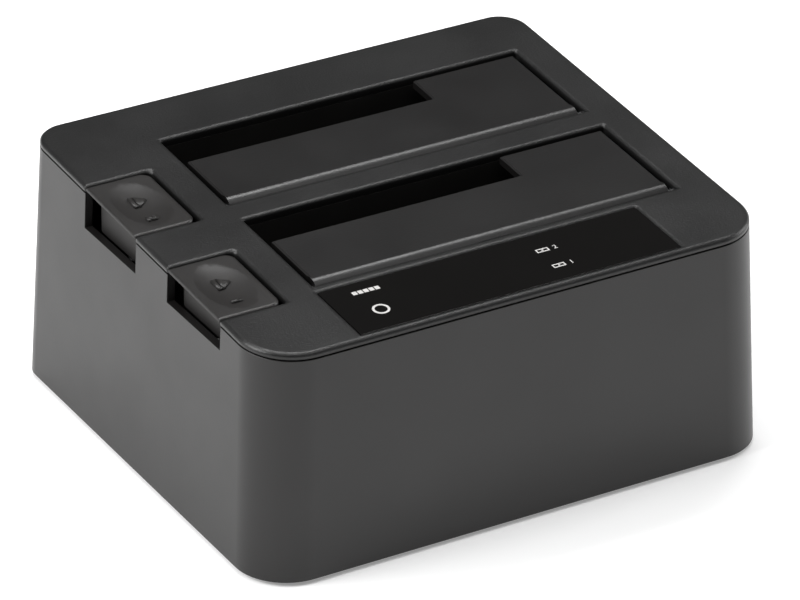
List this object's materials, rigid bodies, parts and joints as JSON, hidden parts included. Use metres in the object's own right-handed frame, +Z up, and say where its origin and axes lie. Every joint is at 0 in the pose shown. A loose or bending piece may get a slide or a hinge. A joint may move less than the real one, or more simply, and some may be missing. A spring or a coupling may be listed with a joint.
{
  "type": "dual-bay hard drive dock",
  "caption": "Desktop docking station for bare hard drives: spring-loaded bay flaps, eject push buttons with levers, glossy indicator panel and rear sockets.",
  "frame": {"origin": "centre of the footprint, on the surface that the feet stand on", "axes": "+X to the right along the drive slots, +Y towards the rear sockets, +Z up"},
  "size_m": [0.1464, 0.129, 0.0682],
  "materials": {
    "cover_plastic": "fine texture, matte",
    "housing_plastic": "satin",
    "flap_plastic": "fine texture, matte",
    "button_plastic": "semi-gloss",
    "panel_gloss": "polished",
    "base_plastic": "matte",
    "well_plastic": "matte",
    "lever_plastic": "matte",
    "foot_rubber": "matte",
    "steel": "bright",
    "spring_steel": "wire",
    "board_green": "solder resist",
    "connector_plastic": "matte",
    "contact_gold": "plated",
    "socket_shell": "plated",
    "socket_core": "moulded",
    "chip_black": "moulded",
    "can_aluminium": "bright",
    "ferrite": "moulded",
    "light_white": "diffusing",
    "light_guide": "clear",
    "ribbon_white": "film"
  },
  "bodies": {
    "housing": {"top_cover": "cover_plastic", "side_housing": "housing_plastic", "base_plate": "base_plastic", "rubber_feet": "foot_rubber", "base_screws": "steel", "well_screws": "steel", "frame_screws": "steel", "main_board": "board_green", "board_screws": "steel", "usb_shell": "socket_shell", "usb_insert": "socket_core", "usb_contacts": "contact_gold", "jack_body": "connector_plastic", "jack_pin": "contact_gold", "power_switch": "chip_black", "indicator_panel": "panel_gloss", "light_board": "board_green", "light_screws": "steel", "panel_lights": "light_white", "light_pipes": "light_guide", "ribbon_sockets": "light_white", "ribbon_cable": "ribbon_white", "bridge_chips": "chip_black", "capacitors": "can_aluminium", "inductors": "ferrite", "crystal": "can_aluminium", "bay_well_1": "well_plastic", "flap_pin_1": "steel", "flap_spring_1": "spring_steel", "button_spring_1": "spring_steel", "lever_pin_1": "steel", "eject_frame_1": "well_plastic", "drive_connector_1": "connector_plastic", "drive_contacts_1": "contact_gold", "bay_well_2": "well_plastic", "flap_pin_2": "steel", "flap_spring_2": "spring_steel", "button_spring_2": "spring_steel", "lever_pin_2": "steel", "eject_frame_2": "well_plastic", "drive_connector_2": "connector_plastic", "drive_contacts_2": "contact_gold"},
    "flap_1": {"bay_flap_1": "flap_plastic"},
    "button_1": {"eject_button_1": "button_plastic"},
    "lever_1": {"eject_lever_1": "lever_plastic"},
    "flap_2": {"bay_flap_2": "flap_plastic"},
    "button_2": {"eject_button_2": "button_plastic"},
    "lever_2": {"eject_lever_2": "lever_plastic"},
    "power_button": {"power_button": "button_plastic"}
  },
  "joints": [
    {"name": "flap_1_hinge", "type": "hinge", "parent": "housing", "child": "flap_1", "pos_m": [0, -0.03175, 0.06005], "axis": [-1, 0, 0], "range_deg": [0, 88], "stiffness_Nm_per_rad": 0.004, "springref_deg": -34.38},
    {"name": "button_1_press", "type": "slide", "parent": "housing", "child": "button_1", "axis": [0, 0, -1], "range_m": [0, 0.005], "stiffness_N_per_m": 400, "springref_m": -0.004, "deforming": ["button_spring_1"]},
    {"name": "lever_1_pivot", "type": "hinge", "parent": "housing", "child": "lever_1", "pos_m": [-0.05015, -0.02575, 0.0175], "axis": [0, -1, 0], "range_deg": [0, 24]},
    {"name": "flap_2_hinge", "type": "hinge", "parent": "housing", "child": "flap_2", "pos_m": [0, 0.01155, 0.06209], "axis": [-1, 0, 0], "range_deg": [0, 88], "stiffness_Nm_per_rad": 0.004, "springref_deg": -34.38},
    {"name": "button_2_press", "type": "slide", "parent": "housing", "child": "button_2", "axis": [0, 0, -1], "range_m": [0, 0.005], "stiffness_N_per_m": 400, "springref_m": -0.004, "deforming": ["button_spring_2"]},
    {"name": "lever_2_pivot", "type": "hinge", "parent": "housing", "child": "lever_2", "pos_m": [-0.05015, 0.01755, 0.0175], "axis": [0, -1, 0], "range_deg": [0, 24]},
    {"name": "power_button_press", "type": "slide", "parent": "housing", "child": "power_button", "axis": [0, -1, 0], "range_m": [0, 0.002], "stiffness_N_per_m": 300, "springref_m": -0.001}
  ],
  "couplings": [
    {"joint": "lever_1_pivot", "follows": "button_1_press", "rad_per_m": 83.333},
    {"joint": "lever_2_pivot", "follows": "button_2_press", "rad_per_m": 83.333}
  ]
}
